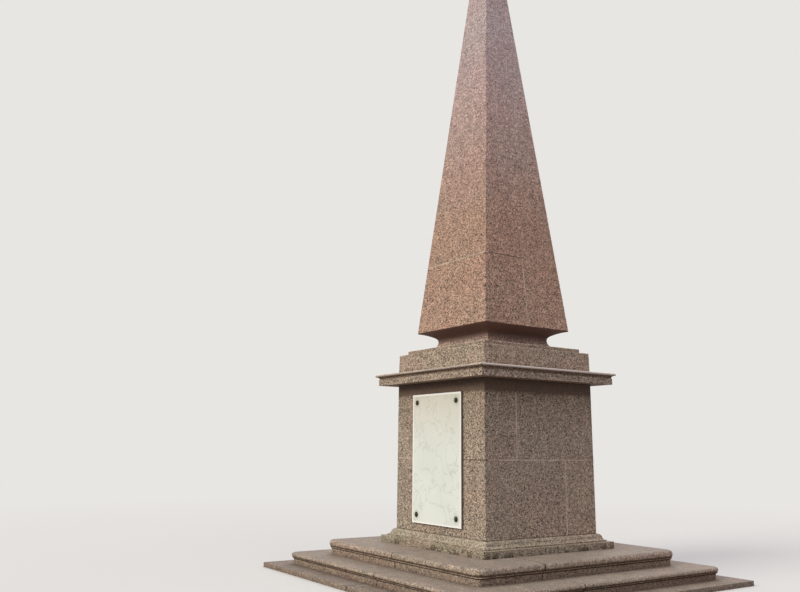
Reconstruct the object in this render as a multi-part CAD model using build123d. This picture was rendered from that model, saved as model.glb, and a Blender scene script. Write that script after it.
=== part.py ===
from build123d import *
import os

# A granite obelisk on a square pedestal, with two nosed steps, a ground slab and a marble plaque.
# Millimetres. The origin is the centre of the ground slab's underside, +Z is up,
# -Y is the side with the plaque and +X is the side to its right.

# Ground slab and the two steps. A tread or ledge is measured out from the face above it to the nosing.
SLAB_HEIGHT = 58.0
SLAB_LEDGE = 238.0
LOWER_STEP_RISE = 140.0
LOWER_TREAD = 360.0
LOWER_NOSING_THICKNESS = 54.0
LOWER_NOSING_ROUNDING = 25.0
UPPER_STEP_RISE = 176.0
UPPER_TREAD = 517.0
UPPER_NOSING_THICKNESS = 84.0
UPPER_NOSING_ROUNDING = 35.0
NOSING_CORNER_RADIUS = 130.0
NOSING_OVERHANG = 46.0
NOSING_FILLET_HEIGHT = 10.0
NOSING_FILLET_SETBACK = 26.0
NOSING_SPLAY = 16.0
RISER_CORNER_RADIUS = 40.0

# Stone joints in the slab and the steps, measured from the centre lines
SLAB_ROW_JOINT = 800.0
LOWER_STEP_ROW_JOINT = 420.0
UPPER_STEP_ROW_JOINT = 631.0
LOWER_STEP_END_JOINT = 186.0
JOINT_WIDTH = 4.0

# Pedestal: plinth course with its moulding, die and cornice. Projections are measured from the die's face.
PLINTH_PROJECTION = 144.0
PLINTH_COURSE_HEIGHT = 168.0
PLINTH_FACE_HEIGHT = 80.0
PLINTH_FILLET_HEIGHT = 16.0
PLINTH_FILLET_SETBACK = 60.0
CYMA_BULGE = 9.0
DIE_LEDGE = 8.0
DIE_BASE_WIDTH = 1772.0
DIE_TOP_WIDTH = 1758.0
DIE_HEIGHT = 1823.0
DIE_COURSE_HEIGHT = 884.0
LOWER_DIE_JOINT = 385.0
UPPER_DIE_JOINT = -397.0
ARRIS = 5.0

CORNICE_PROJECTION = 190.0
CORNICE_FASCIA_HEIGHT = 77.0
CORNICE_QUIRK = 9.0
CORNICE_COVE_RADIUS = 33.0
CORNICE_LIP_HEIGHT = 29.0
CORNICE_LIP_UNDERCUT = 12.0

# Attic block, its small step, and the neck that carries the shaft
ATTIC_BASE_WIDTH = 1755.0
ATTIC_TOP_WIDTH = 1746.0
ATTIC_HEIGHT = 258.0
ATTIC_STEP_SETBACK = 82.0
ATTIC_STEP_HEIGHT = 56.0
NECK_FOOT_HEIGHT = 30.0
NECK_FOOT_FLARE = 46.0
NECK_WAIST_WIDTH = 1002.0
NECK_WAIST_HEIGHT = 120.0
NECK_HEIGHT = 238.0
NECK_HOLLOW_RADIUS = 62.0
NECK_HOLLOW_TURN = 60.0
NECK_SOFFIT_SETBACK = 8.0
NECK_SOFFIT_DROP = 8.0

# Shaft: the joints are heights above the shaft's lower edge
SHAFT_BASE_WIDTH = 1400.0
SHAFT_TOP_WIDTH = 370.0
SHAFT_HEIGHT = 4882.0
SHAFT_JOINTS = [892.0, 1697.0, 2428.0, 3044.0, 3580.0, 4020.0]
PYRAMIDION_HEIGHT = 400.0
PYRAMIDION_TIP_WIDTH = 14.0

# Marble plaque and its four domed bolt heads
PLAQUE_WIDTH = 988.0
PLAQUE_HEIGHT = 1575.0
PLAQUE_THICKNESS = 30.0
PLAQUE_OFFSET_X = -5.0
PLAQUE_BOTTOM = 102.0
PLAQUE_ARRIS = 2.0
BOLT_INSET_X = 96.0
BOLT_INSET_Z = 101.0
BOLT_WASHER_RADIUS = 32.0
BOLT_WASHER_HEIGHT = 5.0
BOLT_DOME_RADIUS = 24.0
BOLT_DOME_HEIGHT = 17.0

# Widths and heights that follow from the sizes above
PLINTH_WIDTH = DIE_BASE_WIDTH + 2 * PLINTH_PROJECTION
UPPER_STEP_WIDTH = PLINTH_WIDTH + 2 * UPPER_TREAD
LOWER_STEP_WIDTH = UPPER_STEP_WIDTH + 2 * LOWER_TREAD
SLAB_WIDTH = LOWER_STEP_WIDTH + 2 * SLAB_LEDGE
LOWER_STEP_BOTTOM = SLAB_HEIGHT
UPPER_STEP_BOTTOM = LOWER_STEP_BOTTOM + LOWER_STEP_RISE
PLINTH_BOTTOM = UPPER_STEP_BOTTOM + UPPER_STEP_RISE
DIE_BOTTOM = PLINTH_BOTTOM + PLINTH_COURSE_HEIGHT
DIE_TOP = DIE_BOTTOM + DIE_HEIGHT
CORNICE_TOP = DIE_TOP + CORNICE_FASCIA_HEIGHT + CORNICE_COVE_RADIUS + CORNICE_LIP_HEIGHT
ATTIC_TOP = CORNICE_TOP + ATTIC_HEIGHT
NECK_BOTTOM = ATTIC_TOP + ATTIC_STEP_HEIGHT
SHAFT_BOTTOM = NECK_BOTTOM + NECK_HEIGHT
SHAFT_TOP = SHAFT_BOTTOM + SHAFT_HEIGHT


def square_block(edges):
    """A square block with the same outline from the front and from the side, so its corners are mitred.

    The edges give the right half of the outline, as (distance from the centre, height), foot first.
    """
    right = Wire(edges)
    corners = right.vertices().sort_by(Axis.Y)
    foot_and_head = [Line((-end.X, end.Y), (end.X, end.Y)) for end in (corners[0], corners[-1])]
    outline = make_face([*right.edges(), *right.mirror(Plane.YZ).edges(), *foot_and_head])
    front = extrude(Plane.XZ * outline, amount=right.bounding_box().max.X + 1, both=True)
    return (front & front.rotate(Axis.Z, 90)).solid()


def tapered_block(base_width, top_width, bottom, height):
    """A square block whose four sides lean in by the same amount."""
    return square_block([Line((base_width / 2, bottom), (top_width / 2, bottom + height))])


def slice_of(body, low, high):
    """The part of a body between two opposite corners of a box."""
    size = [high[i] - low[i] for i in range(3)]
    centre = [(high[i] + low[i]) / 2 for i in range(3)]
    return (body & Pos(*centre) * Box(*size)).solid()


def soften(block):
    """Take the sharp arrises off a stone with flat sides."""
    return chamfer(block.edges(), ARRIS).solid()


def halves(course, joint, across, suffixes):
    """Part a course in two at a joint: across X the joint lies at that x, across Y at that y."""
    box = course.bounding_box()
    low, high = list(box.min), list(box.max)
    near_high, far_low = list(high), list(low)
    axis = {"X": 0, "Y": 1}[across]
    near_high[axis] = joint - JOINT_WIDTH / 2
    far_low[axis] = joint + JOINT_WIDTH / 2
    pieces = slice_of(course, low, near_high), slice_of(course, far_low, high)
    return {suffix: soften(piece) for suffix, piece in zip(suffixes, pieces)}


def rounded_plate(width, radius, bottom, height):
    """A square plate with rounded plan corners."""
    return extrude(Pos(0, 0, bottom) * RectangleRounded(width, width, radius), amount=height)


def nosed_step(width, bottom, rise, thickness, rounding):
    """A step: a riser, then a splay and a fillet under a nosing with rounded edges."""
    nosing_bottom = bottom + rise - thickness
    nosing = rounded_plate(width, NOSING_CORNER_RADIUS, nosing_bottom, thickness)
    nosing = fillet(nosing.faces().filter_by(Axis.Z).edges(), rounding)

    riser = rounded_plate(width - 2 * NOSING_OVERHANG, RISER_CORNER_RADIUS, bottom, rise - thickness)
    strip_width = width - 2 * NOSING_FILLET_SETBACK
    strip_radius = RISER_CORNER_RADIUS + NOSING_OVERHANG - NOSING_FILLET_SETBACK
    strip = rounded_plate(strip_width, strip_radius, nosing_bottom - NOSING_FILLET_HEIGHT, NOSING_FILLET_HEIGHT)
    support = riser + strip
    inner_corner = [wire for face in support.faces().filter_by(Axis.Z) for wire in face.inner_wires()]
    support = chamfer(inner_corner[0].edges(), NOSING_SPLAY)
    return (nosing + support).solid()


def stones_in_rows(course, name, row_joint, end_joints=(0, 0, 0)):
    """Cut a square course into a front, a middle and a rear row of two stones each.

    The rows are parted at plus and minus row_joint, and each row is parted at its own end joint.
    """
    box = course.bounding_box()
    gap = JOINT_WIDTH / 2
    rows = {"front": (box.min.Y, -row_joint - gap),
            "middle": (-row_joint + gap, row_joint - gap),
            "rear": (row_joint + gap, box.max.Y)}
    stones = {}
    for (row, (near, far)), joint in zip(rows.items(), end_joints):
        ends = {"left": (box.min.X, joint - gap), "right": (joint + gap, box.max.X)}
        for end, (low_x, high_x) in ends.items():
            low, high = (low_x, near, box.min.Z), (high_x, far, box.max.Z)
            stones[f"{name}_{row}_{end}"] = slice_of(course, low, high)
    return stones


def ground_slab():
    """The plain slab course that the steps stand on."""
    course = Pos(0, 0, SLAB_HEIGHT / 2) * Box(SLAB_WIDTH, SLAB_WIDTH, SLAB_HEIGHT)
    return stones_in_rows(course, "ground_slab", SLAB_ROW_JOINT)


def lower_step():
    """The lower step, its joints out of line with those above and below."""
    course = nosed_step(LOWER_STEP_WIDTH, LOWER_STEP_BOTTOM, LOWER_STEP_RISE,
                        LOWER_NOSING_THICKNESS, LOWER_NOSING_ROUNDING)
    end_joints = (LOWER_STEP_END_JOINT, -LOWER_STEP_END_JOINT, LOWER_STEP_END_JOINT)
    return stones_in_rows(course, "lower_step", LOWER_STEP_ROW_JOINT, end_joints)


def upper_step():
    """The upper step, which carries the pedestal."""
    course = nosed_step(UPPER_STEP_WIDTH, UPPER_STEP_BOTTOM, UPPER_STEP_RISE,
                        UPPER_NOSING_THICKNESS, UPPER_NOSING_ROUNDING)
    return stones_in_rows(course, "upper_step", UPPER_STEP_ROW_JOINT)


def pedestal_plinth():
    """The plinth course: a plain face, a ledge, a fillet, and a cyma that runs up to the die."""
    face = PLINTH_WIDTH / 2
    fillet_face = face - PLINTH_FILLET_SETBACK
    ledge = PLINTH_BOTTOM + PLINTH_FACE_HEIGHT
    foot = Vector(fillet_face, ledge + PLINTH_FILLET_HEIGHT)
    head = Vector(DIE_BASE_WIDTH / 2 + DIE_LEDGE, DIE_BOTTOM)
    middle = (foot + head) / 2
    outward = Vector((head - foot).Y, -(head - foot).X).normalized() * CYMA_BULGE
    edges = [
        *Polyline((face, PLINTH_BOTTOM), (face, ledge), (fillet_face, ledge), foot).edges(),
        ThreePointArc(foot, (foot + middle) / 2 - outward, middle),
        ThreePointArc(middle, (middle + head) / 2 + outward, head),
    ]
    return {"pedestal_plinth": square_block(edges)}


def die_width(height):
    """Width of the die at a height above its foot."""
    return DIE_BASE_WIDTH + (DIE_TOP_WIDTH - DIE_BASE_WIDTH) * height / DIE_HEIGHT


def die():
    """The die: two courses of two blocks, parted at a different place in each course."""
    blocks = {}
    courses = {"die_lower": (0, DIE_COURSE_HEIGHT, LOWER_DIE_JOINT),
               "die_upper": (DIE_COURSE_HEIGHT, DIE_HEIGHT, UPPER_DIE_JOINT)}
    for name, (low, high, joint) in courses.items():
        course = tapered_block(die_width(low), die_width(high), DIE_BOTTOM + low, high - low)
        for suffix, block in halves(course, joint, "Y", ("front_block", "rear_block")).items():
            blocks[f"{name}_{suffix}"] = block
    return blocks


def cornice():
    """The cornice slab: a plain fascia, a quirk, a cove and a rounded lip."""
    fascia = DIE_TOP_WIDTH / 2 + CORNICE_PROJECTION
    quirk = fascia - CORNICE_QUIRK
    cove_bottom = DIE_TOP + CORNICE_FASCIA_HEIGHT
    lip_bottom = cove_bottom + CORNICE_COVE_RADIUS
    lip_foot = quirk + CORNICE_COVE_RADIUS
    lip = lip_foot + CORNICE_LIP_UNDERCUT
    half_lip = CORNICE_LIP_HEIGHT / 2
    edges = [
        *Polyline((fascia, DIE_TOP), (fascia, cove_bottom), (quirk, cove_bottom)).edges(),
        CenterArc((lip_foot, cove_bottom), CORNICE_COVE_RADIUS, 90, 90),
        ThreePointArc((lip_foot, lip_bottom), (lip, lip_bottom + half_lip), (lip - half_lip, CORNICE_TOP)),
    ]
    return {"cornice": square_block(edges)}


def attic():
    """The plain attic block and the small step on it."""
    block = tapered_block(ATTIC_BASE_WIDTH, ATTIC_TOP_WIDTH, CORNICE_TOP, ATTIC_HEIGHT)
    step_width = ATTIC_TOP_WIDTH - 2 * ATTIC_STEP_SETBACK
    step = tapered_block(step_width, step_width, ATTIC_TOP, ATTIC_STEP_HEIGHT)
    return {"attic_block": soften(block), "attic_step": soften(step)}


def neck():
    """The neck under the shaft: a short flared foot, a waist and a wide hollow up to the shaft's edge."""
    edge, waist = SHAFT_BASE_WIDTH / 2, Vector(NECK_WAIST_WIDTH / 2, NECK_BOTTOM + NECK_WAIST_HEIGHT)
    foot_top = Vector(waist.X + NECK_FOOT_FLARE, NECK_BOTTOM + NECK_FOOT_HEIGHT)
    soffit_edge = Vector(edge - NECK_SOFFIT_SETBACK, SHAFT_BOTTOM - NECK_SOFFIT_DROP)
    hollow = JernArc(waist, (0, 1), NECK_HOLLOW_RADIUS, -NECK_HOLLOW_TURN)
    edges = [
        Line((foot_top.X, NECK_BOTTOM), foot_top),
        TangentArc(waist, foot_top, tangent=(0, -1)),
        hollow,
        TangentArc(hollow @ 1, soffit_edge, tangent=hollow % 1),
        Line(soffit_edge, (edge, SHAFT_BOTTOM)),
    ]
    return {"neck": square_block(edges)}


def shaft_width(height):
    """Width of the shaft at a height above its lower edge."""
    return SHAFT_BASE_WIDTH + (SHAFT_TOP_WIDTH - SHAFT_BASE_WIDTH) * height / SHAFT_HEIGHT


def shaft():
    """The tapering shaft in courses. The lowest two are of two blocks each, parted crosswise."""
    levels = [0, *SHAFT_JOINTS, SHAFT_HEIGHT]
    courses = []
    for low, high in zip(levels, levels[1:]):
        courses.append(tapered_block(shaft_width(low), shaft_width(high), SHAFT_BOTTOM + low, high - low))
    blocks = {}
    for suffix, block in halves(courses[0], 0, "Y", ("front", "rear")).items():
        blocks[f"shaft_course_1_{suffix}"] = block
    for suffix, block in halves(courses[1], 0, "X", ("left", "right")).items():
        blocks[f"shaft_course_2_{suffix}"] = block
    for number, course in enumerate(courses[2:], start=3):
        blocks[f"shaft_course_{number}"] = soften(course)
    return blocks


def pyramidion():
    """The pointed cap, with a slightly blunt tip."""
    return {"pyramidion": tapered_block(SHAFT_TOP_WIDTH, PYRAMIDION_TIP_WIDTH, SHAFT_TOP, PYRAMIDION_HEIGHT)}


def bolt_head():
    """A flat washer with a domed head on it, standing on the XY plane."""
    washer = extrude(Circle(BOLT_WASHER_RADIUS), amount=BOLT_WASHER_HEIGHT)
    ball_radius = (BOLT_DOME_RADIUS**2 + BOLT_DOME_HEIGHT**2) / (2 * BOLT_DOME_HEIGHT)
    ball = Pos(0, 0, BOLT_WASHER_HEIGHT + BOLT_DOME_HEIGHT - ball_radius) * Sphere(ball_radius)
    above_washer = Pos(0, 0, BOLT_WASHER_HEIGHT) * extrude(Circle(BOLT_WASHER_RADIUS), amount=BOLT_DOME_HEIGHT)
    return washer + (ball & above_washer)


def plaque():
    """The marble plaque, flat against the leaning face of the die, and its bolt heads."""
    middle = PLAQUE_BOTTOM + PLAQUE_HEIGHT / 2
    lean = Vector(0, -DIE_HEIGHT, (DIE_BASE_WIDTH - DIE_TOP_WIDTH) / 2)
    face = Plane(origin=(PLAQUE_OFFSET_X, -die_width(middle) / 2, DIE_BOTTOM + middle),
                 x_dir=(1, 0, 0), z_dir=lean.normalized())
    slab = extrude(face * Rectangle(PLAQUE_WIDTH, PLAQUE_HEIGHT), amount=PLAQUE_THICKNESS)
    slab = chamfer(slab.edges(), PLAQUE_ARRIS)

    heads = []
    for side in (-1, 1):
        for end in (-1, 1):
            x = side * (PLAQUE_WIDTH / 2 - BOLT_INSET_X)
            y = end * (PLAQUE_HEIGHT / 2 - BOLT_INSET_Z)
            heads.append((face.offset(PLAQUE_THICKNESS) * Pos(x, y, 0) * bolt_head()).solid())
    return {"plaque": slab.solid(), "plaque_bolts": Compound(heads)}


def obelisk():
    """Every piece of the monument, by name."""
    pieces = {}
    for section in (ground_slab, lower_step, upper_step, pedestal_plinth, die, cornice, attic, neck,
                    shaft, pyramidion, plaque):
        pieces |= section()
    return pieces


os.makedirs("parts", exist_ok=True)
for name, piece in obelisk().items():
    export_step(piece, f"parts/{name}.step")
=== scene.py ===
# %% [markdown]
# # Dressing a granite obelisk
#
# The stones of this monument come finished from the CAD model: every block, step and moulding is a mesh
# of its own, in metres, with +Z up and the marble plaque facing -Y. What is missing is everything that
# tells the eye "old granite": mineral grains, rain streaks, dust on the treads, mortar in the joints.
# This lesson adds those one at a time. Each cell does one thing and prints what it made.

# %% Load the stones
import math
import random

import bmesh
import bpy
from mathutils import Matrix, Vector


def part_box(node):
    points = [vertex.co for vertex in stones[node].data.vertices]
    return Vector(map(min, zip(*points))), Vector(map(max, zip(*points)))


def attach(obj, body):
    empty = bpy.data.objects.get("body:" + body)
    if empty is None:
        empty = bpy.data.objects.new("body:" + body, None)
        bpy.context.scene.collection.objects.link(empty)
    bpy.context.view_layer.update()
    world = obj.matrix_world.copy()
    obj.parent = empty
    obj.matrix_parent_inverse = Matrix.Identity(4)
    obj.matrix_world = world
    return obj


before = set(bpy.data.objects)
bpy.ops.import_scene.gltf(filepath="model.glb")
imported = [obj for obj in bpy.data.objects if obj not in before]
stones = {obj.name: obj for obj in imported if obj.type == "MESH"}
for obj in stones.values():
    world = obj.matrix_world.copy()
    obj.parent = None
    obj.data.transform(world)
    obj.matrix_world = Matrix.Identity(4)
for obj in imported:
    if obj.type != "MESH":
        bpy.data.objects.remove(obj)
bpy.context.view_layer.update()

# %% [markdown]
# ## The camera
#
# The monument is seen over a corner, the plaque's side on the left and the +X side on the right, with the
# eye a metre and a half above the ground and tipped back. Blender's camera looks along its own -Z axis,
# so its matrix is built from three arrows: to the right, up, and back towards the viewer. The picture is
# tipped sideways by half a degree as well, as a picture taken by hand is.

# %% The camera
CAMERA_PLACE = Vector((7.936, -6.824, 1.550))
CAMERA_YAW = math.radians(55.97)
CAMERA_PITCH = math.radians(10.82)
CAMERA_ROLL = math.radians(0.55)
LENS_MM = 35.83
SENSOR_MM = 36.0

forward = Vector((-math.sin(CAMERA_YAW) * math.cos(CAMERA_PITCH),
                  math.cos(CAMERA_YAW) * math.cos(CAMERA_PITCH), math.sin(CAMERA_PITCH)))
level_right = Vector((math.cos(CAMERA_YAW), math.sin(CAMERA_YAW), 0))
level_up = level_right.cross(forward)
right = math.cos(CAMERA_ROLL) * level_right + math.sin(CAMERA_ROLL) * level_up
up = -math.sin(CAMERA_ROLL) * level_right + math.cos(CAMERA_ROLL) * level_up

camera = bpy.data.objects.new("camera", bpy.data.cameras.new("camera"))
camera.data.sensor_width = SENSOR_MM
camera.data.lens = LENS_MM
camera.matrix_world = Matrix.Translation(CAMERA_PLACE) @ Matrix((right, up, -forward)).transposed().to_4x4()
bpy.context.scene.collection.objects.link(camera)
bpy.context.scene.camera = camera
print("camera at", tuple(CAMERA_PLACE), "lens", LENS_MM, "mm")

# %% [markdown]
# ## Helpers for colours and nodes
#
# Colours are easiest to choose as the hex codes of a paint program, but shaders count in linear light, so
# one function turns the first into the second. Another adds a node to a material: its own settings by
# name, its inputs as numbers or as the outputs of other nodes, and the stops of a colour ramp. All the
# finishes below are chains of such calls.

# %% Colours and nodes
CHANNEL_TOP = 255                           # the highest value of a channel in a hex code
SRGB_KNEE, SRGB_SLOPE = 0.04045, 12.92      # the sRGB curve is a straight line up to its knee,
SRGB_LIFT, SRGB_POWER = 0.055, 2.4          # and a power of the lifted value beyond it
FACTOR, COLOUR_A, COLOUR_B = 0, 6, 7        # the Mix node's inputs when it mixes colours


def channels(code):
    """The red, green and blue of a hex colour, from 0 to 255."""
    return [int(code[i:i + 2], 16) for i in (1, 3, 5)]


def linear(code):
    """A hex colour such as "#a88b79" as linear red, green, blue and alpha."""
    colour = []
    for channel in channels(code):
        share = channel / CHANNEL_TOP
        curved = ((share + SRGB_LIFT) / (1 + SRGB_LIFT)) ** SRGB_POWER
        colour.append(share / SRGB_SLOPE if share <= SRGB_KNEE else curved)
    return (*colour, 1.0)


def add(tree, kind, inputs=None, output=None, stops=(), blend="LINEAR", **settings):
    """Add a node with its settings, inputs and ramp stops, and give back one of its outputs."""
    node = tree.nodes.new("ShaderNode" + kind)
    for name, value in settings.items():
        setattr(node, name, value)
    if stops:
        ramp = node.color_ramp
        ramp.interpolation = blend
        ramp.elements.remove(ramp.elements[-1])
    for number, (position, colour) in enumerate(stops):
        stop = ramp.elements.new(position) if number else ramp.elements[0]
        stop.position, stop.color = position, colour
    for name, value in (inputs or {}).items():
        if isinstance(value, bpy.types.NodeSocket):
            tree.links.new(value, node.inputs[name])
        else:
            node.inputs[name].default_value = value
    if output is not None:
        return node.outputs[output]
    return next((socket for socket in node.outputs if socket.enabled), None)


def new_material(name):
    """An empty material and its node tree."""
    material = bpy.data.materials.new(name)
    material.use_nodes = True
    material.node_tree.nodes.clear()
    return material, material.node_tree


print("linear #808080 is", round(linear("#808080")[0], 3))

# %% [markdown]
# ## Reading a surface
#
# Weather marks a stone by where it is and by which way it faces, and never quite evenly, and the painted
# shade below follows the same readings. So the finishes start from few readings: a coordinate of the place,
# a coordinate of the normal, which is the arrow square to the surface, and a noise, a value that wanders
# at random from place to place. Each reading is rescaled to the range that is wanted, and then multiplies
# a colour or mixes two.

# %% Reading a surface
NOISE_SPAN = (0.3, 0.7)     # a noise may have any value from 0 to 1, but is seldom outside this span
NOISE_MIDDLE = 0.5


def coordinate(tree, vector, axis):
    """One coordinate of a place or of a direction."""
    return add(tree, "SeparateXYZ", {0: vector}, output=axis)


def noise(tree, place, size, detail, roughness=0.5, distortion=0.0):
    """A value that wanders over about this size, in metres, with finer detail in it."""
    return add(tree, "TexNoise", {"Vector": place, "Scale": 1 / size, "Detail": detail,
                                  "Roughness": roughness, "Distortion": distortion})


def rescaled(tree, value, start, full, low=0.0, high=1.0):
    """Low where a value hasn't got to start, high where it has got to full, and a slope between them."""
    return add(tree, "MapRange", {"Value": value, "From Min": start, "From Max": full,
                                  "To Min": low, "To Max": high})


def maths(tree, operation, *values, **settings):
    """The result of a Math node, such as the product of two values."""
    return add(tree, "Math", dict(enumerate(values)), operation=operation, **settings)


def facing(tree, axis):
    """One coordinate of the normal: 1 where the surface faces along the axis, -1 where it faces away."""
    return coordinate(tree, add(tree, "NewGeometry", output="Normal"), axis)


def facing_up(tree, start, full):
    """0 where the Z part of the normal hasn't got to start, and 1 where it has got to full."""
    return rescaled(tree, facing(tree, "Z"), start, full)


def tinted(tree, colour, tint):
    """A colour multiplied by another, which may come from a node."""
    return add(tree, "VectorMath", {0: colour, 1: tint}, operation="MULTIPLY")


def mixed(tree, share, first, second):
    """A colour that goes from the first to the second with the share."""
    return add(tree, "Mix", {FACTOR: share, COLOUR_A: first, COLOUR_B: second}, data_type="RGBA")


print("most of a noise lies between", *NOISE_SPAN)

# %% [markdown]
# ## Floor and background
#
# The stones stand on a plain pale floor. A horizon line would only distract, so the floor's colour turns
# into the background's own colour a few metres out. A pale floor also throws light up under the cornice
# and thins its shadow, so only the camera sees it pale: for the light that bounces it is a darker grey.

# %% The floor
BACKGROUND = linear("#e8e6e2")
FLOOR_PALE = linear("#d4d4cd")
FLOOR_BOUNCE = linear("#70706a")
FLOOR_RADIUS, FLOOR_SIDES = 60.0, 96
FADE_START, FADE_END = 5.0, 16.0


def seen_directly(tree):
    """1 for the rays that show a thing to the camera, also by gloss or through glass, and 0 for the rest."""
    path = tree.nodes.new("ShaderNodeLightPath").outputs
    either = maths(tree, "ADD", path["Is Camera Ray"], path["Is Glossy Ray"])
    return maths(tree, "ADD", either, path["Is Transmission Ray"], use_clamp=True)


floor_material, tree = new_material("studio_floor")
place = add(tree, "TexCoord", output="Object")
distance = add(tree, "VectorMath", {0: place}, output="Value", operation="LENGTH")
fade = rescaled(tree, distance, FADE_START, FADE_END)
pale = add(tree, "BsdfDiffuse", {"Color": FLOOR_PALE})
dark = add(tree, "BsdfDiffuse", {"Color": FLOOR_BOUNCE})
ground = add(tree, "MixShader", {0: seen_directly(tree), 1: dark, 2: pale})
far = add(tree, "Emission", {"Color": BACKGROUND})
far_seen = add(tree, "MixShader", {0: seen_directly(tree), 1: dark, 2: far})
add(tree, "OutputMaterial", {"Surface": add(tree, "MixShader", {0: fade, 1: ground, 2: far_seen})})

disc = bmesh.new()
bmesh.ops.create_circle(disc, cap_ends=True, segments=FLOOR_SIDES, radius=FLOOR_RADIUS)
floor = bpy.data.objects.new("studio_floor", bpy.data.meshes.new("studio_floor"))
disc.to_mesh(floor.data)
disc.free()
floor.data.materials.append(floor_material)
bpy.context.scene.collection.objects.link(floor)
print("floor radius", FLOOR_RADIUS, "m")

# %% [markdown]
# ## Light from above
#
# Outdoors most of the light comes from overhead, and little from near the ground. That is what makes the
# tops of mouldings bright and leaves a deep shadow under each of them. So the world's brightness follows
# the height of a direction over the horizon: its Z part, which the Generated coordinates of a world give.
# The camera sees the plain background instead.
#
# The sky alone would light all four sides alike, so lamps come next.

# %% Sky
SKY_LOW, SKY_HIGH = linear("#615f63"), linear("#f2edf8")
SKY_STRENGTH = 1.20

world = bpy.data.worlds.new("studio")
bpy.context.scene.world = world
world.use_nodes = True
tree = world.node_tree
tree.nodes.clear()
direction = add(tree, "TexCoord", output="Generated")
height = coordinate(tree, direction, "Z")
sky_colour = add(tree, "ValToRGB", {0: height}, stops=[(0.0, SKY_LOW), (1.0, SKY_HIGH)])
sky = add(tree, "Background", {"Color": sky_colour, "Strength": SKY_STRENGTH})
backdrop = add(tree, "Background", {"Color": BACKGROUND})
add(tree, "OutputWorld", {"Surface": add(tree, "MixShader", {0: seen_directly(tree), 1: sky, 2: backdrop})})
bpy.context.scene.view_settings.view_transform = "Standard"
print("sky strength", SKY_STRENGTH)

# %% [markdown]
# ## Lamps
#
# Two broad lamps shine from far away: suns with a very wide angle, so that their shadows are soft. The
# key brings the plaque's side to about twice the light of the side to its right, and a weak one from
# behind lets the far sides be looked at too. A lamp's share is the brightness that it gives a white
# surface square to it, and key and sky together light the plaque's side at about 1: a colour comes out of
# the render as it was written.
#
# High up, a wall sees more of the sky than near the ground. A soft box that hangs high on the +X side
# does the same: it lights the head of the shaft more than its foot.

# %% Lamps
WIDE = math.radians(30)
SUNS = (("key", 0.65, "#fdfaef", Vector((-0.03, -0.87, 0.46))),     # name, share, colour, direction
        ("back", 0.22, "#f6f8ff", Vector((-0.62, 0.62, 0.48))))
SOFT_BOX_PLACE, SOFT_BOX_AIM = Vector((6.5, 0.2, 8.5)), Vector((0.5, 0.0, 6.0))
SOFT_BOX_SIZE, SOFT_BOX_WATTS, SOFT_BOX_COLOUR = 3.0, 84, "#f8f2fa"


def lamp(name, kind, energy, colour, towards, place=(0, 0, 0)):
    """A lamp that stands in the direction towards."""
    light = bpy.data.objects.new(name, bpy.data.lights.new(name, kind))
    light.data.energy, light.data.color = energy, linear(colour)[:3]
    light.location = place
    light.rotation_euler = towards.to_track_quat("Z", "Y").to_euler()
    light.visible_camera = False
    bpy.context.scene.collection.objects.link(light)
    return light


for name, share, colour, towards in SUNS:
    lamp(name, "SUN", math.pi * share, colour, towards).data.angle = WIDE
    print(name, "light from", tuple(round(part, 2) for part in towards))
soft_box = lamp("soft_box", "AREA", SOFT_BOX_WATTS, SOFT_BOX_COLOUR, SOFT_BOX_PLACE - SOFT_BOX_AIM,
                SOFT_BOX_PLACE)
soft_box.data.size = SOFT_BOX_SIZE
print("soft box of", SOFT_BOX_WATTS, "W")

# %% [markdown]
# ## Granite, crystal by crystal
#
# Granite is cooled magma: feldspar, quartz and black mica grown into each other as crystals of four to
# twelve millimetres. One pixel of the picture covers ten to twenty millimetres of stone, and would
# average them away, so all are drawn nearly at the size of the largest. A Voronoi texture is close to how
# crystals fill space: each cell gets a random number, and a ramp with hard steps says which mineral that
# number is. Each mineral is given as a multiple of the stone's own tone, and the multiples average about
# one, so that a stone keeps the tone that it is given.

# %% Crystals
CRYSTAL = 0.0105            # 10.5 mm
WOBBLES = 1.3               # how often the edge of a grain wobbles along one crystal's width
WOBBLE = 0.7                # how far it wobbles, in crystals
GRAINY = 1.06               # the contrast of the grain: more would make the mica blacker than black
MINERALS = [(0.00, (0.09, 0.08, 0.08)),     # black mica, 8 in a hundred
            (0.08, (0.51, 0.51, 0.53)),     # grey quartz, 26
            (0.34, (0.97, 0.97, 0.95)),     # tan feldspar, 26
            (0.60, (1.28, 1.25, 1.22)),     # pink feldspar, 22
            (0.82, (1.84, 1.90, 1.96))]     # white feldspar, the rest


def crystals(tree, place, tone, contrast):
    """The colour of granite of one tone: minerals in angular grains with slightly ragged edges."""
    wobbles = {"Vector": place, "Scale": WOBBLES / CRYSTAL, "Detail": 1.0}
    ragged = add(tree, "TexNoise", wobbles, output="Color")
    shift = add(tree, "VectorMath", {0: ragged, 1: (WOBBLE * CRYSTAL,) * 3}, operation="MULTIPLY")
    moved = add(tree, "VectorMath", {0: place, 1: shift}, operation="ADD")
    cells = add(tree, "TexVoronoi", {"Vector": moved, "Scale": 1 / CRYSTAL}, output="Color")
    chance = add(tree, "SeparateColor", {0: cells})
    base = linear(tone)
    stops = []
    for position, multiples in MINERALS:
        mineral = [base[i] * (1 + contrast * (multiples[i] - 1)) for i in range(3)]
        stops.append((position, (*mineral, 1.0)))
    return add(tree, "ValToRGB", {0: chance}, stops=stops, blend="CONSTANT")


print("crystals of", CRYSTAL * 1000, "mm")

# %% [markdown]
# ## Clouds from the quarry, streaks from the rain
#
# Slow patterns lie over the grain. Wide clouds shift the hue between pinkish and greenish grey, and
# smaller ones and a fine mottle the brightness: all these come from the quarry. Streaks come from the
# rain. They are the same kind of noise, squeezed sideways and drawn out downwards. Each changes the stone
# by a few per cent only, but without them a wall looks printed.

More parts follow.
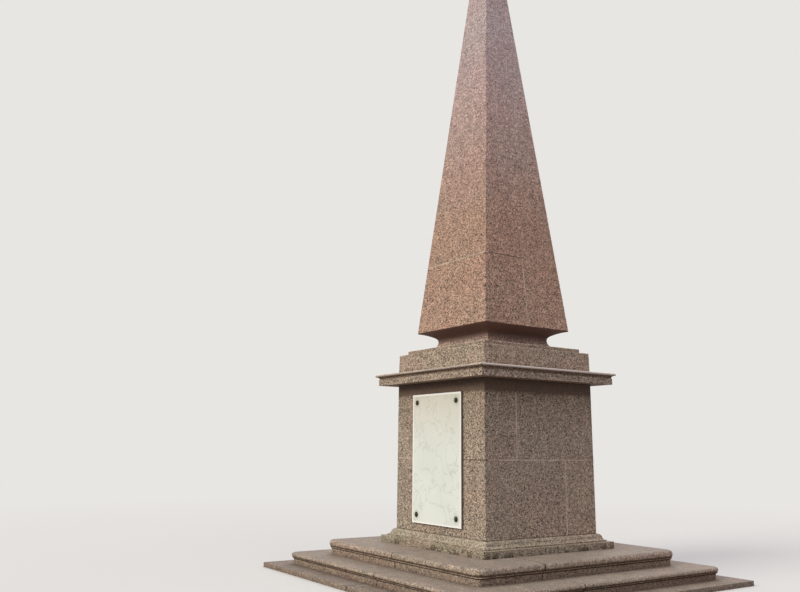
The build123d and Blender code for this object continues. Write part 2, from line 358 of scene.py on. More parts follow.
# %% Clouds and streaks
HUE_CLOUD, SHADE_CLOUD, MOTTLE = 0.60, 0.22, 0.035      # sizes in metres
PINK_UP_TO, PINKER = 0.36, (1.030, 0.984, 0.992, 1.0)   # a value of the noise, and the tint up to it
GREY_FROM, GREYER = 0.62, (0.976, 1.008, 1.005, 1.0)
SHADES = (0.93, 1.07)                                   # darkest and lightest, as multiples of the stone
STREAK_WIDTH, STREAK_LENGTH = 0.05, 0.9
STREAK_SPAN, STREAK_SHADES = (0.3, 0.6), (0.93, 1.02)


def clouded(tree, place, colour):
    """Slow changes of hue and brightness, and rain streaks, over a stone's colour."""
    hue = noise(tree, place, HUE_CLOUD, detail=3.0)
    tint = add(tree, "ValToRGB", {0: hue}, stops=[(PINK_UP_TO, PINKER), (GREY_FROM, GREYER)])
    clouds = rescaled(tree, noise(tree, place, SHADE_CLOUD, detail=2.0), *NOISE_SPAN, *SHADES)
    mottle = rescaled(tree, noise(tree, place, MOTTLE, detail=1.0), *NOISE_SPAN, *SHADES)
    squeeze = (1 / STREAK_WIDTH, 1 / STREAK_WIDTH, 1 / STREAK_LENGTH)
    squeezed = add(tree, "VectorMath", {0: place, 1: squeeze}, operation="MULTIPLY")
    streaks = rescaled(tree, noise(tree, squeezed, 1.0, detail=3.0), *STREAK_SPAN, *STREAK_SHADES)
    light = maths(tree, "MULTIPLY", maths(tree, "MULTIPLY", clouds, mottle), streaks)
    return add(tree, "VectorMath", {0: tinted(tree, colour, tint), "Scale": light}, operation="SCALE")


print("streaks", STREAK_WIDTH * 1000, "mm wide, hue clouds", HUE_CLOUD, "m")

# %% [markdown]
# ## Worn arrises, washed tops, and painted shade underneath and in corners
#
# A century outdoors leaves more marks, and each follows the shape of the stone. Arrises get knocked and
# show fresh, lighter stone: the Bevel node gives the normal that a rounded edge would have, and where it
# differs from the real one there is an edge. Rain washes what faces the sky, and what faces the ground is
# darkened as painted shade: the Z part of the normal tells. Closed corners get painted shade too, with the
# soot that settles there, and an ambient occlusion node measures how open a point is to its surroundings.
# A span says at which reading a mark starts and at which it is full.

# %% Wear and painted shade
WEAR_RADIUS = 0.010
WEAR_SPAN, WEAR_COVER, WEAR_LIGHTENS = (0.99, 0.8), 0.8, (1.22, 1.19, 1.17)
WASHED_SPAN, WASHED = (0.1, 0.6), (1.10, 1.10, 1.10)
# Undersides are painted darker: painted shade, strongest where a face looks straight down.
UNDERSIDE_SPAN, UNDERSIDE_SHADE = (-0.15, -0.6), (0.66, 0.54, 0.48)
# Closed corners are painted darker: painted shade, with the soot that settles there.
SHADE_REACH = 0.12
CORNER_SHADE_SPAN, CORNER_SHADE_AND_SOOT = (0.80, 0.30), (0.42, 0.34, 0.30)
WEAR_SAMPLES, SHADE_SAMPLES = 4, 6       # rays that look round a point


def worn(tree, colour, corner_shade_and_soot, underside_shade=UNDERSIDE_SHADE):
    """Lighter arrises, washed tops, painted shade on undersides, and painted shade with soot in closed
    corners.
    """
    rounded = add(tree, "Bevel", {"Radius": WEAR_RADIUS}, samples=WEAR_SAMPLES)
    agrees = add(tree, "VectorMath", {0: rounded, 1: add(tree, "NewGeometry", output="Normal")},
                 output="Value", operation="DOT_PRODUCT")
    edge = rescaled(tree, agrees, *WEAR_SPAN, 0.0, WEAR_COVER)
    colour = mixed(tree, edge, colour, tinted(tree, colour, WEAR_LIGHTENS))
    colour = mixed(tree, facing_up(tree, *WASHED_SPAN), colour, tinted(tree, colour, WASHED))
    # Painted shade on what faces the ground.
    colour = mixed(tree, facing_up(tree, *UNDERSIDE_SPAN), colour, tinted(tree, colour, underside_shade))
    # Painted shade and soot in closed corners.
    openness = add(tree, "AmbientOcclusion", {"Distance": SHADE_REACH}, output="AO", samples=SHADE_SAMPLES)
    closed = rescaled(tree, openness, *CORNER_SHADE_SPAN, 0.0, corner_shade_and_soot)
    return mixed(tree, closed, colour, tinted(tree, colour, CORNER_SHADE_AND_SOOT))


print("soot reaches", SHADE_REACH * 1000, "mm out of a corner")

# %% [markdown]
# ## Fine-dressed granite
#
# The shaft and the pedestal were worked with a bush hammer, a toothed hammer that leaves a surface of
# small, even pits. It has no shine: light scatters in the pits, so the roughness is high, and the bump
# comes from noise of the hammer's pitch. Quartz and feldspar bend light alike, with an index of 1.54.

# %% Fine-dressed granite
GRANITE_IOR = 1.54
HAMMER_PITCH, HAMMER_DEPTH, HAMMER_STRENGTH = 0.012, 0.0016, 0.9
DRESSED_ROUGHNESS, ROUGHNESS_SPREAD = 0.8, 0.1
WALL_CORNER_SHADE = 0.8             # how far a closed corner of a wall goes over to painted shade and soot


def hammered(tree, material, place, colour, roughness):
    """Close a granite material: scattered light from a surface of small pits."""
    pits = noise(tree, place, HAMMER_PITCH, detail=3.0, roughness=0.6)
    normal = add(tree, "Bump", {"Height": pits, "Distance": HAMMER_DEPTH, "Strength": HAMMER_STRENGTH})
    matt = rescaled(tree, pits, 0.0, 1.0, roughness - ROUGHNESS_SPREAD, roughness + ROUGHNESS_SPREAD)
    shader = add(tree, "BsdfPrincipled", {"Base Color": colour, "Roughness": matt, "IOR": GRANITE_IOR,
                                          "Normal": normal})
    add(tree, "OutputMaterial", {"Surface": shader})
    return material


def dressed_granite(name, tone, contrast=GRAINY, marks=(), corner_shade_and_soot=WALL_CORNER_SHADE, lip=None):
    """Bush-hammered granite of one tone. Marks are functions that change the colour by the place, weathering
    and painted shade alike.
    """
    material, tree = new_material(name)
    place = add(tree, "TexCoord", output="Object")
    colour = clouded(tree, place, crystals(tree, place, tone, contrast))
    for mark in marks:
        colour = mark(tree, place, colour)
    colour = worn(tree, colour, corner_shade_and_soot)
    if lip:
        colour = lip(tree, place, colour)
    return hammered(tree, material, place, colour, DRESSED_ROUGHNESS)


def dress(node, material):
    """Give a stone its finish."""
    for slot in stones[node].material_slots:
        slot.material = material


print("hammer pitch", HAMMER_PITCH * 1000, "mm")

# %% [markdown]
# ## The shaft, course by course
#
# Blocks from different parts of a quarry never match exactly, so each stone is made a little lighter or
# darker by chance. The chance is seeded, so the monument looks the same each time. The foot of the shaft
# is tan, and further up, washed cleaner by rain, it goes over to a pale pinkish grey. Rain doesn't stop at
# a joint, so this change follows the height, and not the stone. The pale courses show less grain, too.

# %% The shaft
SHAFT_FOOT_TONE, SHAFT_HEAD_TONE = "#a78772", "#b29e9a"
PALING_START, PALING_LENGTH = 0.28, 0.56    # where it goes pale, as shares of the shaft's height
HEAD_FADES = 0.30           # contrast that the grain has lost where the shaft is palest
QUARRY_SPREAD = 0.012
SEED = 1890
chance = random.Random(SEED)


def quarried(tone):
    """A hex colour made a little lighter or darker by chance."""
    light = 1 + chance.uniform(-QUARRY_SPREAD, QUARRY_SPREAD)
    changed = [min(CHANNEL_TOP, round(channel * light)) for channel in channels(tone)]
    return "#{:02x}{:02x}{:02x}".format(*changed)


shaft_stones = sorted(name for name in stones if name.startswith("shaft")) + ["pyramidion"]
shaft_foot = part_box("shaft_course_1_front")[0].z
shaft_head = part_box("shaft_course_7")[1].z
pale_from = shaft_foot + PALING_START * (shaft_head - shaft_foot)
pale_to = pale_from + PALING_LENGTH * (shaft_head - shaft_foot)
head_tint = [head / foot for head, foot in zip(linear(SHAFT_HEAD_TONE)[:3], linear(SHAFT_FOOT_TONE)[:3])]


def paling(tree, place, colour):
    """A stain: the tone of the shaft's foot goes over to that of its head."""
    share = rescaled(tree, coordinate(tree, place, "Z"), pale_from, pale_to)
    return mixed(tree, share, colour, tinted(tree, colour, head_tint))


for name in shaft_stones:
    low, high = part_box(name)
    share = min(1, max(0, ((low.z + high.z) / 2 - pale_from) / (pale_to - pale_from)))
    contrast = GRAINY - HEAD_FADES * share
    dress(name, dressed_granite("granite_" + name, quarried(SHAFT_FOOT_TONE), contrast, [paling]))
print(len(shaft_stones), "shaft stones from", round(shaft_foot, 3), "to", round(shaft_head, 3), "m")

# %% [markdown]
# ## Stains and painted shade with a level edge
#
# Under the cornice and under the edge of the shaft, rain never wets a band of stone as high as the
# overhang throws it clear, and there a dark crust grows, with a level but slightly wavy lower edge. The
# band is painted shade as well: the overhang's shadow is painted into it with the crust. Crust and
# painted shade hide the grains, so the stone is mixed towards one colour there. Below the cornice, painted
# shade reaches further down: its shadow, painted as a darkening that fades out. At the foot of the plinth,
# splashing water and soil leave dark blots instead. All are masks over the height above the ground, so one
# function makes the level edge and the others use it. Only the pale lip of the cornice, washed stone with a
# painted highlight, has a level of its own, without a wave: it is too thin for one.

# %% Stains and painted shade by height
LEVEL_EDGE = 0.020          # half the height over which the crust and painted shade fade out
LEVEL_WAVE = 0.05           # from the lowest to the highest place of a wavy edge
LEVEL_WAVES = 6.0           # in a metre of it
DAMP_HEIGHT = 0.090
DAMP_SPACING = 0.11
DAMP_SPAN, DAMP = (0.53, 0.59), (0.30, 0.28, 0.20)
LIP_EDGE = 0.003
LIP_FACING = (0.99, 0.8)    # how far the lip faces up: it isn't pale where that is the first or more
LIP_ASIDE = 0.4             # how far it faces along +X where it is palest
LIP_COVERS = (0.25, 0.85)   # how much of the lip is pale, on the other sides and on the +X side


def height_mask(tree, place, level, edge):
    """1 above a level, 0 below it, with a soft and slightly wavy edge."""
    wave = noise(tree, place, 1 / LEVEL_WAVES, detail=4.0)
    rise = rescaled(tree, wave, 0.0, 1.0, -LEVEL_WAVE / 2, LEVEL_WAVE / 2)
    wavy = maths(tree, "ADD", coordinate(tree, place, "Z"), rise)
    return rescaled(tree, wavy, level - edge, level + edge)


def crust_and_shade_above(level, crust_and_shade, cover):
    """Crust and painted shade: one colour over all that lies above a level. Its cover is from 0 to 1."""
    def mark(tree, place, colour):
        share = maths(tree, "MULTIPLY", height_mask(tree, place, level, LEVEL_EDGE), cover)
        return mixed(tree, share, colour, linear(crust_and_shade))
    return mark


def shade_above(level, edge, shade):
    """Painted shade: darkens the stone, from level - edge up to its full strength at level + edge."""
    def mark(tree, place, colour):
        return mixed(tree, height_mask(tree, place, level, edge), colour, tinted(tree, colour, shade))
    return mark


def damp_below(level):
    """A stain: dark blots just above a level."""
    def mark(tree, place, colour):
        wet = rescaled(tree, noise(tree, place, DAMP_SPACING, detail=4.0), *DAMP_SPAN)
        above = height_mask(tree, place, level + DAMP_HEIGHT / 2, DAMP_HEIGHT / 2)
        below = maths(tree, "SUBTRACT", 1.0, above)
        share = maths(tree, "MULTIPLY", wet, below)
        return mixed(tree, share, colour, tinted(tree, colour, DAMP))
    return mark


def washed_and_highlighted_lip(level, pale):
    """Washed stone and painted highlight: the rounded lip above a level is pale, most on the +X side, but its
    flat top isn't.
    """
    def mark(tree, place, colour):
        lip = rescaled(tree, coordinate(tree, place, "Z"), level, level + LIP_EDGE)
        lip = maths(tree, "MULTIPLY", lip, facing_up(tree, *LIP_FACING))
        cover = rescaled(tree, facing(tree, "X"), 0.0, LIP_ASIDE, *LIP_COVERS)
        return mixed(tree, maths(tree, "MULTIPLY", lip, cover), colour, linear(pale))
    return mark


print("damp blots about", DAMP_SPACING, "m apart")

# %% [markdown]
# ## The pedestal
#
# The pedestal is of the same granite as the shaft, a little browner. The die's upper blocks carry the
# crust and painted shade under the cornice, and the neck that under the shaft. The cornice gets full
# painted shade and soot under its lip, and the lip itself is painted nearly white on the +X side: washed
# stone with a painted highlight. The plinth is greyer, and damp at its foot.

# %% The pedestal
PEDESTAL_TONE = "#9f8e7b"
# The attic and the cornice take the full painted shade and soot in closed corners, the plinth less.
ATTIC_TONE, ATTIC_CORNER_SHADE = "#a08f7c", 1.0
PLINTH_TONE, PLINTH_CONTRAST, PLINTH_CORNER_SHADE = "#998c78", 0.90, 0.6
NECK_TONE = "#9a8173"
LIP_WASHED_AND_HIGHLIGHT, LIP_HEIGHT = "#dccfc5", 0.029
# The crust colours are soot crust and painted shade in one: the overhang's shadow is painted into them.
CRUST_AND_SHADE, CRUST_AND_SHADE_COVER, CRUST_AND_SHADE_DEPTH = "#624b3d", 0.85, 0.155       # how far it reaches below the die's top
# Below the crust, the cornice's shadow is painted as a darkening that fades out downwards.
CORNICE_SHADE, CORNICE_SHADE_MIDDLE, CORNICE_SHADE_EDGE = (0.82, 0.80, 0.78), 0.38, 0.30   # its middle is measured from there too
NECK_CRUST_AND_SHADE, NECK_CRUST_AND_SHADE_COVER, NECK_CRUST_AND_SHADE_DEPTH = "#7b605a", 0.85, 0.130     # below the shaft's foot

die_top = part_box("die_upper_front_block")[1].z
under_cornice = [shade_above(die_top - CORNICE_SHADE_MIDDLE, CORNICE_SHADE_EDGE, CORNICE_SHADE),
                 crust_and_shade_above(die_top - CRUST_AND_SHADE_DEPTH, CRUST_AND_SHADE, CRUST_AND_SHADE_COVER)]
for name in sorted(name for name in stones if name.startswith("die")):
    marks = under_cornice if "upper" in name else []
    dress(name, dressed_granite("granite_" + name, quarried(PEDESTAL_TONE), marks=marks))
# The cornice's lip: washed stone with a painted highlight, strongest on the +X side.
lip_wash_and_highlight = washed_and_highlighted_lip(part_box("cornice")[1].z - LIP_HEIGHT, LIP_WASHED_AND_HIGHLIGHT)
for name, lip in (("cornice", lip_wash_and_highlight), ("attic_block", None), ("attic_step", None)):
    dress(name, dressed_granite("granite_" + name, quarried(ATTIC_TONE), corner_shade_and_soot=ATTIC_CORNER_SHADE, lip=lip))
neck_crust_and_shade = crust_and_shade_above(shaft_foot - NECK_CRUST_AND_SHADE_DEPTH, NECK_CRUST_AND_SHADE, NECK_CRUST_AND_SHADE_COVER)
dress("neck", dressed_granite("granite_neck", NECK_TONE, marks=[neck_crust_and_shade]))
plinth_damp = damp_below(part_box("pedestal_plinth")[0].z)
dress("pedestal_plinth", dressed_granite("granite_plinth", PLINTH_TONE, PLINTH_CONTRAST, [plinth_damp],
                                         PLINTH_CORNER_SHADE))
print("crust from", round(die_top - CRUST_AND_SHADE_DEPTH, 3), "up to", round(die_top, 3), "m")

# %% [markdown]
# ## Steps under dust
#
# On the treads the hammer marks are worn down and dust fills what is left of them, so the grain almost
# disappears under a flat grey-beige. The nosings and risers keep more of it. How far a surface faces the
# sky tells the two apart, and a noise makes the dust patchy. Soil and soot also sit in the joints between
# the stones, and show on the risers: the distance from the planes where a stone meets its neighbours
# draws them.

# %% Steps
STEP_TONES = {"ground_slab": "#978675", "lower_step": "#9f8d7b", "upper_step": "#9f8d7b"}
# The steps take the full painted shade and soot in closed corners.
STEP_CONTRAST, STEP_ROUGHNESS, STEP_CORNER_SHADE = 0.8, 0.85, 1.0
# The undersides of the nosings get a stronger painted shade.
STEP_UNDERSIDE_SHADE = (0.40, 0.33, 0.29)
DUST = {"ground_slab": "#665b4f", "lower_step": "#7b7164", "upper_step": "#7c7266"}
TREAD_SPAN = (0.25, 0.95)               # how far a tread faces up, where dust starts and is full
DUST_PATCH, DUST_SPAN, DUST_COVER = 0.16, (0.3, 0.65), (0.35, 0.80)
GRIT, GRIT_CONTRAST = 0.020, 0.30
JOINT_GRIME = (0.32, 0.27, 0.24)
GRIME_WIDTH, GRIME_WAVE, GRIME_SPAN = 0.008, 0.025, (0.35, 0.7)     # the wave makes its edge ragged
SAME_PLACE = 0.01                       # coordinates closer than this are taken as the same


def joint_planes(name, course):
    """The dirty joints of a stone, as pairs of an axis and a place on it. The rearmost joints are clean."""
    low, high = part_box(name)
    reach = max(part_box(other)[1].x for other in course)
    sides = [(axis, side[axis]) for axis in (0, 1) for side in (low, high)]
    inner = [(axis, value) for axis, value in sides if abs(value) < reach - SAME_PLACE]
    return [(axis, value) for axis, value in inner if axis == 0 or value < 0]


def grimy_joints(tree, place, colour, planes):
    """Dark, ragged lines along the joints of a stone."""
    across = [coordinate(tree, place, axis) for axis in "XY"]
    ragged = noise(tree, place, GRIME_WAVE, detail=3.0)
    width = rescaled(tree, ragged, *GRIME_SPAN, 0.0, 2 * GRIME_WIDTH)
    for axis, value in planes:
        off = maths(tree, "ABSOLUTE", maths(tree, "SUBTRACT", across[axis], value))
        near = maths(tree, "LESS_THAN", off, width)
        colour = mixed(tree, near, colour, tinted(tree, colour, JOINT_GRIME))
    return colour


def trodden_granite(name, tone, dust_colour, planes):
    """Granite under dust: plain on top, grainy on the sides."""
    material, tree = new_material(name)
    place = add(tree, "TexCoord", output="Object")
    colour = clouded(tree, place, crystals(tree, place, tone, STEP_CONTRAST))
    colour = worn(tree, grimy_joints(tree, place, colour, planes), STEP_CORNER_SHADE, underside_shade=STEP_UNDERSIDE_SHADE)
    patches = noise(tree, place, DUST_PATCH, detail=8.0, roughness=0.65)
    cover = rescaled(tree, patches, *DUST_SPAN, *DUST_COVER)
    dust = maths(tree, "MULTIPLY", facing_up(tree, *TREAD_SPAN), cover)
    grit = noise(tree, place, GRIT, detail=3.0, roughness=0.6)
    light = rescaled(tree, grit, *NOISE_SPAN, 1 - GRIT_CONTRAST, 1 + GRIT_CONTRAST)
    gritty = add(tree, "VectorMath", {0: linear(dust_colour)[:3], "Scale": light}, operation="SCALE")
    return hammered(tree, material, place, mixed(tree, dust, colour, gritty), STEP_ROUGHNESS)


step_stones = []
for course_name, dust_colour in DUST.items():
    course = sorted(name for name in stones if name.startswith(course_name))
    for name in course:
        tone = quarried(STEP_TONES[course_name])
        dress(name, trodden_granite("granite_" + name, tone, dust_colour, joint_planes(name, course)))
    step_stones += course
print(len(step_stones), "stones in the steps and the slab")

# %% [markdown]
# ## The marble plaque
#
# The plaque is white marble, honed: rubbed flat and left without a shine. Marble is limestone that was
# baked and squeezed, and its grey veins are what was clay between the layers. A vein is where a slow noise
# passes through its middle value, so the distance from that value, sharpened, draws thin wandering lines.
# The upper half is a little yellower than the lower one.

# %% Honed marble
MARBLE_LOW, MARBLE_HIGH = linear("#eaefe5"), linear("#e3ddcd")
VEIN, VEIN_COVER = linear("#a3aa9b"), 0.32
VEIN_SPACING, VEIN_WIDTH = 0.22, 0.02       # in metres, and in values of the noise
CLOUDS, CLOUD_SPAN, CLOUD_COVER = 3.0, (0.35, 0.65), 0.10      # clouds in a metre, and how grey they are

marble, tree = new_material("honed_white_marble")
place = add(tree, "TexCoord", output="Object")
slow = noise(tree, place, VEIN_SPACING, detail=6.0, distortion=0.6)
off_middle = maths(tree, "ABSOLUTE", maths(tree, "SUBTRACT", slow, NOISE_MIDDLE))
vein = rescaled(tree, off_middle, 0.0, VEIN_WIDTH, VEIN_COVER, 0.0)
cloudy = rescaled(tree, noise(tree, place, 1 / CLOUDS, detail=5.0), *CLOUD_SPAN, 0.0, CLOUD_COVER)
plaque_low, plaque_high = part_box("plaque")
middle, half = (plaque_low + plaque_high) / 2, (plaque_high - plaque_low) / 2
rise = rescaled(tree, coordinate(tree, place, "Z"), middle.z, plaque_high.z)
marble_colour = mixed(tree, rise, MARBLE_LOW, MARBLE_HIGH)
colour = mixed(tree, maths(tree, "ADD", vein, cloudy), marble_colour, VEIN)
print("marble veins about", VEIN_SPACING, "m apart")

# %% [markdown]
# ## Stains and a painted highlight on the marble
#
# Iron weeps: rain carries a little of the bolts' rust onto the marble round them, as brownish green
# haloes. A painted highlight, as wide as a thumb, runs round the margin of the face. The sawn edges of the
# slab are darker than its face. Each is a mask again: over the distance from the nearest bolt, over that
# from the face's edge, and over which way the marble faces.

# %% Stained marble
BOLT_RADIUS = 0.032
HALO, HALO_COVER, HALO_RADIUS = linear("#a3a184"), 0.45, 0.075
HALO_BLUR, BLUR_SIZE = 0.02, 0.04       # how far the halo's edge wanders, and over what length
EDGE_HIGHLIGHT, EDGE_HIGHLIGHT_WIDTH, EDGE_HIGHLIGHT_FULL = linear("#fdfbf4"), 0.026, 0.0182    # it starts and is full there
EDGE_DARKER, EDGE_SPAN = linear("#77706a"), (-0.9, -0.5)
MARBLE_ROUGHNESS, MARBLE_IOR = 0.42, 1.5

bolts_low, bolts_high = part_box("plaque_bolts")
face_y = (bolts_low.y + bolts_high.y) / 2
nearest = None
for x in (bolts_low.x + BOLT_RADIUS, bolts_high.x - BOLT_RADIUS):
    for z in (bolts_low.z + BOLT_RADIUS, bolts_high.z - BOLT_RADIUS):
        away = add(tree, "VectorMath", {0: place, 1: (x, face_y, z)}, output="Value", operation="DISTANCE")
        nearest = away if nearest is None else maths(tree, "MINIMUM", nearest, away)
wander = rescaled(tree, noise(tree, place, BLUR_SIZE, detail=3.0), 0.0, 1.0, -HALO_BLUR, HALO_BLUR)
halo = rescaled(tree, maths(tree, "ADD", nearest, wander), BOLT_RADIUS, HALO_RADIUS, HALO_COVER, 0.0)
colour = mixed(tree, halo, colour, HALO)

off_centre = add(tree, "VectorMath", {0: place, 1: middle}, operation="SUBTRACT")
off_centre = add(tree, "VectorMath", {0: off_centre}, operation="ABSOLUTE")
inset = add(tree, "VectorMath", {0: half, 1: off_centre}, operation="SUBTRACT")
from_edge = maths(tree, "MINIMUM", coordinate(tree, inset, "X"), coordinate(tree, inset, "Z"))
# A painted highlight round the margin of the face.
edge_highlight = rescaled(tree, from_edge, EDGE_HIGHLIGHT_WIDTH, EDGE_HIGHLIGHT_FULL)
colour = mixed(tree, edge_highlight, colour, EDGE_HIGHLIGHT)
# The edges of the slab, which don't face -Y, are darker than its face.
colour = mixed(tree, rescaled(tree, facing(tree, "Y"), *EDGE_SPAN), colour, EDGE_DARKER)
shader = add(tree, "BsdfPrincipled", {"Base Color": colour, "Roughness": MARBLE_ROUGHNESS, "IOR": MARBLE_IOR})
add(tree, "OutputMaterial", {"Surface": shader})
dress("plaque", marble)
print("plaque face at y", round(face_y, 3))

# %% [markdown]
# ## The bolt heads
#
# Four domed heads hold the plaque. They are cast iron that has rusted and been oiled until it is nearly
# black: still a metal to the eye, but a rough one, with a brown patina in blots.

# %% Dark iron
PATINA_BLOTS = 120.0        # in a metre
OILED_UP_TO, OILED = 0.35, linear("#2b2d25")
BROWN_FROM, BROWN = 0.65, linear("#4a4236")
IRON_ROUGHNESS = (0.35, 0.7)
IRON_METALLIC = 0.6         # less than 1, because the patina itself isn't metal

iron, tree = new_material("patinated_cast_iron")
place = add(tree, "TexCoord", output="Object")
blots = noise(tree, place, 1 / PATINA_BLOTS, detail=3.0)
colour = add(tree, "ValToRGB", {0: blots}, stops=[(OILED_UP_TO, OILED), (BROWN_FROM, BROWN)])
rough = rescaled(tree, blots, 0.0, 1.0, *IRON_ROUGHNESS)
shader = add(tree, "BsdfPrincipled", {"Base Color": colour, "Metallic": IRON_METALLIC, "Roughness": rough})
add(tree, "OutputMaterial", {"Surface": shader})
dress("plaque_bolts", iron)
print("bolt heads dressed")

# %% [markdown]
# ## Mortar
#
# The joints between the blocks are pointed with lime mortar: sand and lime, pressed into the groove
# between two softened arrises and struck off. Where it is sound it is lighter than the stone, and smeared
# a few millimetres over its edges. Old mortar lies level with the stone and has its colour. Where rain
# has washed it out, the empty groove lies in shade, and a dark mortar paints that shade as a dark line.
# Under the cornice the crust and its painted shade cover it. So there are four mortars, each of two
# colours in blots.

# %% Mortar
# The third mortar is painted shade: a dark line where the groove is empty. The fourth is the crust with its
# painted shade.
MORTARS = (("lime_mortar", "#cdbba8", "#ad9a87"), ("old_lime_mortar", "#ab9789", "#978376"),
           ("shaded_groove_mortar", "#46392f", "#6c5b4d"), ("crusted_and_shaded_mortar", CRUST_AND_SHADE, "#5a463a"))
DIRT_CLOUD, DIRT_SPAN = 0.2, (0.42, 0.62)
SAND_GRAIN, SAND_DEPTH, SAND_STRENGTH = 0.004, 0.001, 0.6
MORTAR_ROUGHNESS = 0.9


def sandy(name, first, second):
    """A mortar material: two colours in blots, and grains of sand."""
    material, tree = new_material(name)
    place = add(tree, "TexCoord", output="Object")
    dirt = rescaled(tree, noise(tree, place, DIRT_CLOUD, detail=4.0), *DIRT_SPAN)
    colour = mixed(tree, dirt, linear(first), linear(second))
    sand = noise(tree, place, SAND_GRAIN, detail=2.0)
    normal = add(tree, "Bump", {"Height": sand, "Distance": SAND_DEPTH, "Strength": SAND_STRENGTH})
    shader = add(tree, "BsdfPrincipled", {"Base Color": colour, "Roughness": MORTAR_ROUGHNESS,
                                          "Normal": normal})
    add(tree, "OutputMaterial", {"Surface": shader})
    return material


mortars = [sandy(*mortar) for mortar in MORTARS]
print(len(mortars), "kinds of mortar")

# %% [markdown]
# ## Mortar has depth
#
# A painted line would vanish in a view along the wall, so the mortar is geometry: a bead with four sides
# that follows the groove. Each station along the bead has two lips on the stones, a front and a back, and
# seeded chance moves the lips and the front by a fraction of a millimetre. What state the mortar is in can
# change along the bead. A state says how far the front stands out, how far the lips reach, and which of
# the mortars it is.

# %% A bead of mortar
STATION = 0.05              # metres between two stations
ARRIS = 0.005               # the groove is as deep as the softened arrises
LIP_DEPTH = 0.0003          # the lips are sunk this deep, so that the bead has no open edge
RAGGED = 0.0004             # how far chance moves a corner
SOUND, OLD = (0.0008, 0.0080, 0), (-0.0004, 0.0052, 1)
# The third state paints the shade of an empty groove, the fourth the crust with its painted shade.
SHADED_GROOVE, CRUSTED_AND_SHADED = (0.0003, 0.0050, 2), (-0.0004, 0.0052, 3)


def bead(name, stations, gap, state, closed):
    """Mortar along a groove. A station is a point on the stone's face, the way across, and the way out."""
    mesh = bmesh.new()
    rings, kinds = [], []
    for point, across, outward in stations:
        proud, reach, kind = state(point)
        ragged = [chance.uniform(-RAGGED, RAGGED) for _ in range(3)]
        lips, depth = reach + gap / 2, LIP_DEPTH + max(0, -proud)
        pressed_in = ARRIS + gap / 4
        ring = [point - across * (lips + ragged[1]) - outward * depth,
                point + outward * (proud + ragged[0]),
                point + across * (lips + ragged[2]) - outward * depth,
                point - outward * pressed_in]
        rings.append([mesh.verts.new(corner) for corner in ring])
        kinds.append(kind)
    following = rings[1:] + rings[:1] if closed else rings[1:]
    for this, other, kind in zip(rings, following, kinds):
        for i in range(4):
            face = mesh.faces.new((this[i], this[(i + 1) % 4], other[(i + 1) % 4], other[i]))
            face.material_index = kind
    if not closed:
        mesh.faces.new(rings[0])
        mesh.faces.new(reversed(rings[-1]))
    bmesh.ops.recalc_face_normals(mesh, faces=mesh.faces)
    piece = bpy.data.objects.new(name, bpy.data.meshes.new(name))
    mesh.to_mesh(piece.data)
    mesh.free()
    for mortar in mortars:
        piece.data.materials.append(mortar)
    bpy.context.scene.collection.objects.link(piece)
    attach(piece, "root")
    return piece


print("sound mortar is", 2 * SOUND[1] * 1000, "mm wide")

# %% [markdown]
# ## Where the beads run
#
# The blocks lean in, so how far out their face is depends on the height. Two boxes of the same kind of
# block give the slope. A level joint is a square ring at one height, and an upright joint is a line up
# one face. At the corners of a ring the way out is the diagonal, which mitres the bead.

# %% Joints of the shaft and the die
JOINT_GAP = 0.004           # between two blocks side by side. Those on top of each other touch


def face_distance(low_block, high_block):
    """How far a leaning face is from the middle, as a function of the height."""
    (_, low_out), (_, high_out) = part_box(low_block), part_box(high_block)
    low_z, high_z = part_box(low_block)[0].z + ARRIS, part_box(high_block)[0].z + ARRIS
    slope = (high_out.x - low_out.x) / (high_z - low_z)
    return lambda height: low_out.x + slope * (height - low_z)


def level_joint(name, height, face, state):
    """A square ring of mortar round the monument."""
    half = face(height)
    steps = math.ceil(2 * half / STATION)
    stations = []
    for side in range(4):
        turn = Matrix.Rotation(side * math.pi / 2, 3, "Z")
        for step in range(steps):
            along = -half + 2 * half * step / steps
            outward = Vector((0, -1, 0)) if step else Vector((-1, -1, 0))
            stations.append((turn @ Vector((along, -half, height)), Vector((0, 0, 1)), turn @ outward))
    return bead(name, stations, gap=0.0, state=state, closed=True)


def upright_joint(name, block, face, outward, aside, state):
    """A line of mortar up one face of a block, so far aside of the face's middle."""
    low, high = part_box(block)
    across = Vector((-outward.y, outward.x, 0))
    steps = math.ceil((high.z - low.z) / STATION)
    stations = []
    for step in range(steps + 1):
        height = low.z + ARRIS + (high.z - low.z - 2 * ARRIS) * step / steps
        stations.append((outward * face(height) + aside + Vector((0, 0, height)), across, outward))
    return bead(name, stations, gap=JOINT_GAP, state=state, closed=False)


shaft_face = face_distance("shaft_course_3", "shaft_course_7")
die_face = face_distance("die_lower_front_block", "die_upper_front_block")
print("shaft face at its foot", round(shaft_face(shaft_foot), 3), "m from the middle")

# %% [markdown]
# ## How sound the mortar is
#
# The joints of the die and the lowest ones of the shaft were pointed last, and show light. But the shaft's
# lowest level joint has lost its mortar again over the front half of the side that looks along +X, and is
# old from there round the back to the plaque's side. The die's level joint has lost its own to the right
# of the plaque. Where a joint has lost its mortar, a dark mortar paints the shade of the empty groove. All
# the joints higher up the shaft are old.

# %% The beads
SHADED_GROOVE_ENDS = -0.02               # where the painted shade of an empty groove ends on the +X side, just in front of the middle
CENTRED = Vector((0, 0, 0))     # for a joint in the middle of its face


def sound(point):
    """Sound mortar everywhere."""
    return SOUND


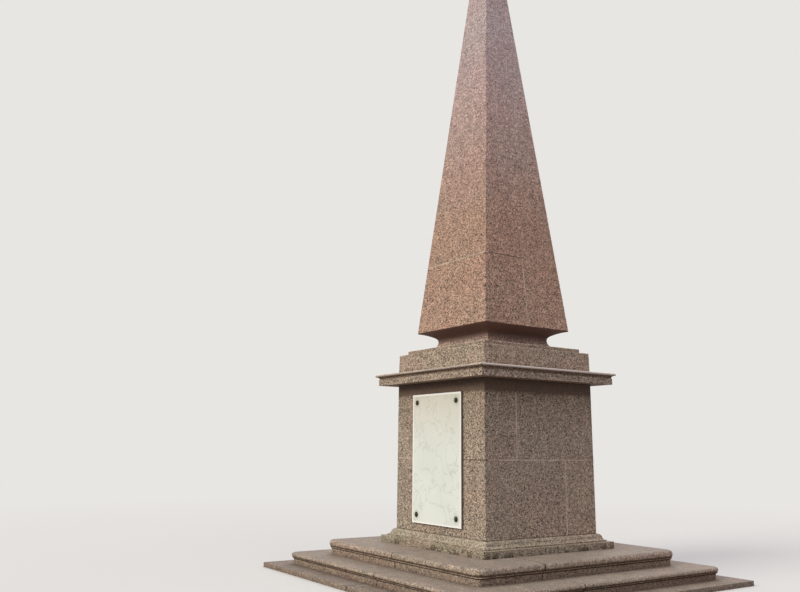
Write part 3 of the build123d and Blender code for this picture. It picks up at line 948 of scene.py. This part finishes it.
def old(point):
    """Old mortar everywhere."""
    return OLD


def in_front(point):
    """Whether a point lies on the side of the plaque."""
    return point.y < -abs(point.x) + SAME_PLACE


def lowest_of_shaft(point):
    """Sound mortar in front, painted shade of an empty groove over the front half of the +X side, and old
    mortar elsewhere.
    """
    if in_front(point):
        return SOUND
    return SHADED_GROOVE if point.x > abs(point.y) - SAME_PLACE and point.y < SHADED_GROOVE_ENDS else OLD


def upper_die(point):
    """Crust and painted shade where they cover the joint under the cornice, sound mortar elsewhere."""
    return CRUSTED_AND_SHADED if point.z > die_top - CRUST_AND_SHADE_DEPTH else SOUND


def level_of_die(point):
    """Painted shade of an empty groove to the right of the plaque, sound mortar elsewhere."""
    return SHADED_GROOVE if in_front(point) and point.x > 0 else SOUND


beads = []
whole_courses = [name for name in shaft_stones if name[-1].isdigit()]     # those of a single stone
for number, block in enumerate(["shaft_course_2_left", *whole_courses], start=1):
    state = lowest_of_shaft if number == 1 else old
    beads.append(level_joint(f"mortar_shaft_level_{number}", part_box(block)[0].z, shaft_face, state))
beads.append(level_joint("mortar_die_level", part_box("die_upper_front_block")[0].z, die_face, level_of_die))

die_joints = {}
for course in ("lower", "upper"):
    front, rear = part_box(f"die_{course}_front_block"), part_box(f"die_{course}_rear_block")
    die_joints[course] = (front[1].y + rear[0].y) / 2
for side, outward in (("left", Vector((-1, 0, 0))), ("right", Vector((1, 0, 0)))):
    beads.append(upright_joint(f"mortar_shaft_upright_{side}", "shaft_course_1_front", shaft_face, outward,
                               CENTRED, sound))
    for course, y in die_joints.items():
        state = upper_die if course == "upper" else sound
        beads.append(upright_joint(f"mortar_die_{course}_{side}", f"die_{course}_front_block", die_face,
                                   outward, Vector((0, y, 0)), state))
for side, outward in (("front", Vector((0, -1, 0))), ("rear", Vector((0, 1, 0)))):
    beads.append(upright_joint(f"mortar_shaft_upright_{side}", "shaft_course_2_left", shaft_face, outward,
                               CENTRED, old))
print(len(beads), "beads,", sum(len(piece.data.polygons) for piece in beads), "faces")
